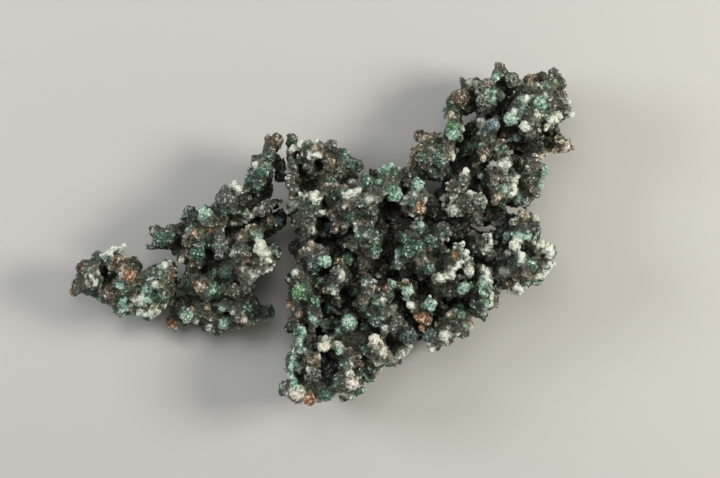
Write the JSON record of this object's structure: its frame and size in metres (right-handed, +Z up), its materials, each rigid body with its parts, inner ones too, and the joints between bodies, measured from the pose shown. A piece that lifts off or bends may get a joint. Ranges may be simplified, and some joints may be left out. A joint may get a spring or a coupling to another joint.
{
  "type": "branching mineral specimen",
  "caption": "Loose branching mineral specimen of knobbly black manganese oxide with a green copper crust, lying on its flattest side.",
  "frame": {"origin": "under the middle of the specimen's box, on the surface it lies on", "axes": "+X along the specimen's length, towards the right-hand arms; +Y towards the long upper arm; +Z up, away from the surface"},
  "size_m": [0.1202, 0.0808, 0.0277],
  "materials": {
    "crusted_oxide": "matt near-black oxide with a thin malachite-green and pale grey crust and copper-orange spots"
  },
  "bodies": {
    "root": {"left_arm": "crusted_oxide", "left_ridge": "crusted_oxide", "lower_left_lobe": "crusted_oxide", "centre": "crusted_oxide", "lower_lobe": "crusted_oxide", "right_lobe": "crusted_oxide", "right_knob": "crusted_oxide", "upper_right_arm": "crusted_oxide"}
  },
  "joints": []
}
